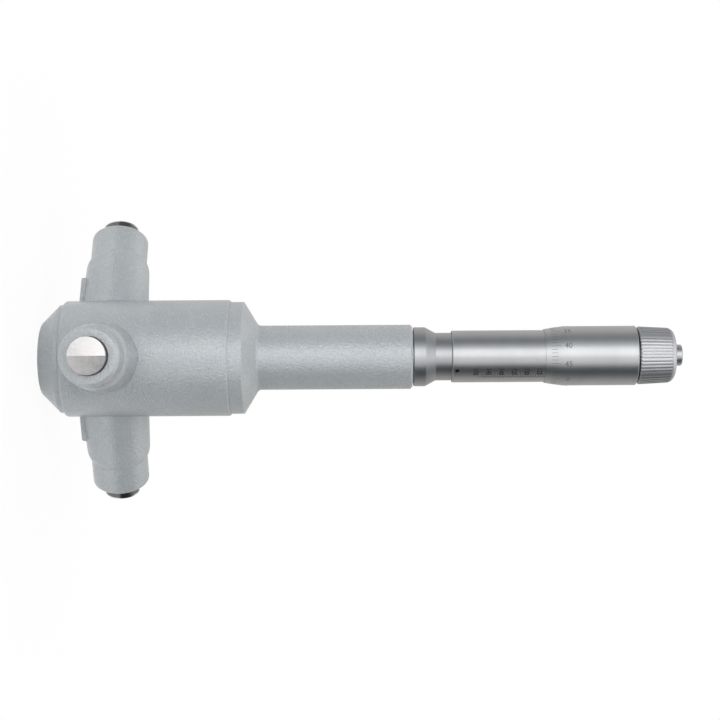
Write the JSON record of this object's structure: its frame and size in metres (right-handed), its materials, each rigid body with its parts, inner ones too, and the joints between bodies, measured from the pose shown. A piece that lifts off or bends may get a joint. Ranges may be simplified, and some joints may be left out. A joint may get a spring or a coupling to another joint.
{
  "type": "three-point inside micrometer",
  "caption": "Bore gauge with a hammer-finish head, radial measuring pins, a plain handle tube, a graduated sleeve and thimble, and a fluted ratchet knob.",
  "frame": {"origin": "centre of the flat nose face", "axes": "+Z along the tool axis towards the ratchet; the first measuring arm points along -Y, the others follow at 120 degrees"},
  "size_m": [0.1143, 0.0997, 0.2533],
  "materials": {
    "hammer_paint": "grey hammer-finish enamel",
    "satin_steel": "fine turned",
    "satin_chrome": "satin chrome plated",
    "ground_steel": "ground and lapped",
    "bronze": "bearing bronze",
    "dark_steel": "oil blackened"
  },
  "bodies": {
    "frame": {"nose_cap": "hammer_paint", "head_body": "hammer_paint", "handle_tube": "hammer_paint", "rod_guide_bush": "bronze", "barrel": "satin_steel", "graduated_sleeve": "satin_chrome", "adjusting_nut": "satin_steel", "rod_spring": "dark_steel", "arm_1": "hammer_paint", "arm_cap_1": "hammer_paint", "pin_bush_1": "bronze", "key_screw_1": "dark_steel", "pin_spring_1": "dark_steel", "arm_2": "hammer_paint", "arm_cap_2": "hammer_paint", "pin_bush_2": "bronze", "key_screw_2": "dark_steel", "pin_spring_2": "dark_steel", "arm_3": "hammer_paint", "arm_cap_3": "hammer_paint", "pin_bush_3": "bronze", "key_screw_3": "dark_steel", "pin_spring_3": "dark_steel"},
    "plunger": {"cone": "satin_steel", "push_rod": "satin_steel", "rod_head": "satin_steel", "thrust_ball": "ground_steel"},
    "thimble_set": {"spindle": "satin_steel", "thimble": "satin_chrome", "ratchet_stud": "satin_steel", "ratchet_screw": "satin_chrome", "click_spring": "dark_steel"},
    "knob": {"ratchet_knob": "satin_chrome"},
    "click": {"click_pin": "ground_steel"},
    "pin_1": {"push_pin_1": "satin_steel", "anvil_1": "ground_steel", "foot_ball_1": "ground_steel"},
    "pin_2": {"push_pin_2": "satin_steel", "anvil_2": "ground_steel", "foot_ball_2": "ground_steel"},
    "pin_3": {"push_pin_3": "satin_steel", "anvil_3": "ground_steel", "foot_ball_3": "ground_steel"}
  },
  "joints": [
    {"name": "spindle_advance", "type": "slide", "parent": "frame", "child": "plunger", "axis": [0, 0, -1], "range_m": [0, 0.025], "deforming": ["rod_spring"]},
    {"name": "thimble_turn", "type": "hinge", "parent": "plunger", "child": "thimble_set", "pos_m": [0, 0, 0.2], "axis": [0, 0, -1], "range_deg": [0, 18072]},
    {"name": "ratchet_slip", "type": "hinge", "parent": "thimble_set", "child": "knob", "pos_m": [0, 0, 0.243], "axis": [0, 0, -1], "continuous": true},
    {"name": "click_retract", "type": "slide", "parent": "thimble_set", "child": "click", "axis": [0, 1, 0], "range_m": [0, 0.00035], "stiffness_N_per_m": 100, "springref_m": -0.001, "deforming": ["click_spring"]},
    {"name": "pin_1_out", "type": "slide", "parent": "frame", "child": "pin_1", "axis": [0, -1, 0], "range_m": [0, 0.01255], "deforming": ["pin_spring_1"]},
    {"name": "pin_2_out", "type": "slide", "parent": "frame", "child": "pin_2", "axis": [0.866, 0.5, 0], "range_m": [0, 0.01255], "deforming": ["pin_spring_2"]},
    {"name": "pin_3_out", "type": "slide", "parent": "frame", "child": "pin_3", "axis": [-0.866, 0.5, 0], "range_m": [0, 0.01255], "deforming": ["pin_spring_3"]}
  ],
  "couplings": [
    {"joint": "thimble_turn", "follows": "spindle_advance", "rad_per_m": 12566},
    {"joint": "pin_1_out", "follows": "spindle_advance", "ratio": 0.5},
    {"joint": "pin_2_out", "follows": "spindle_advance", "ratio": 0.5},
    {"joint": "pin_3_out", "follows": "spindle_advance", "ratio": 0.5}
  ]
}
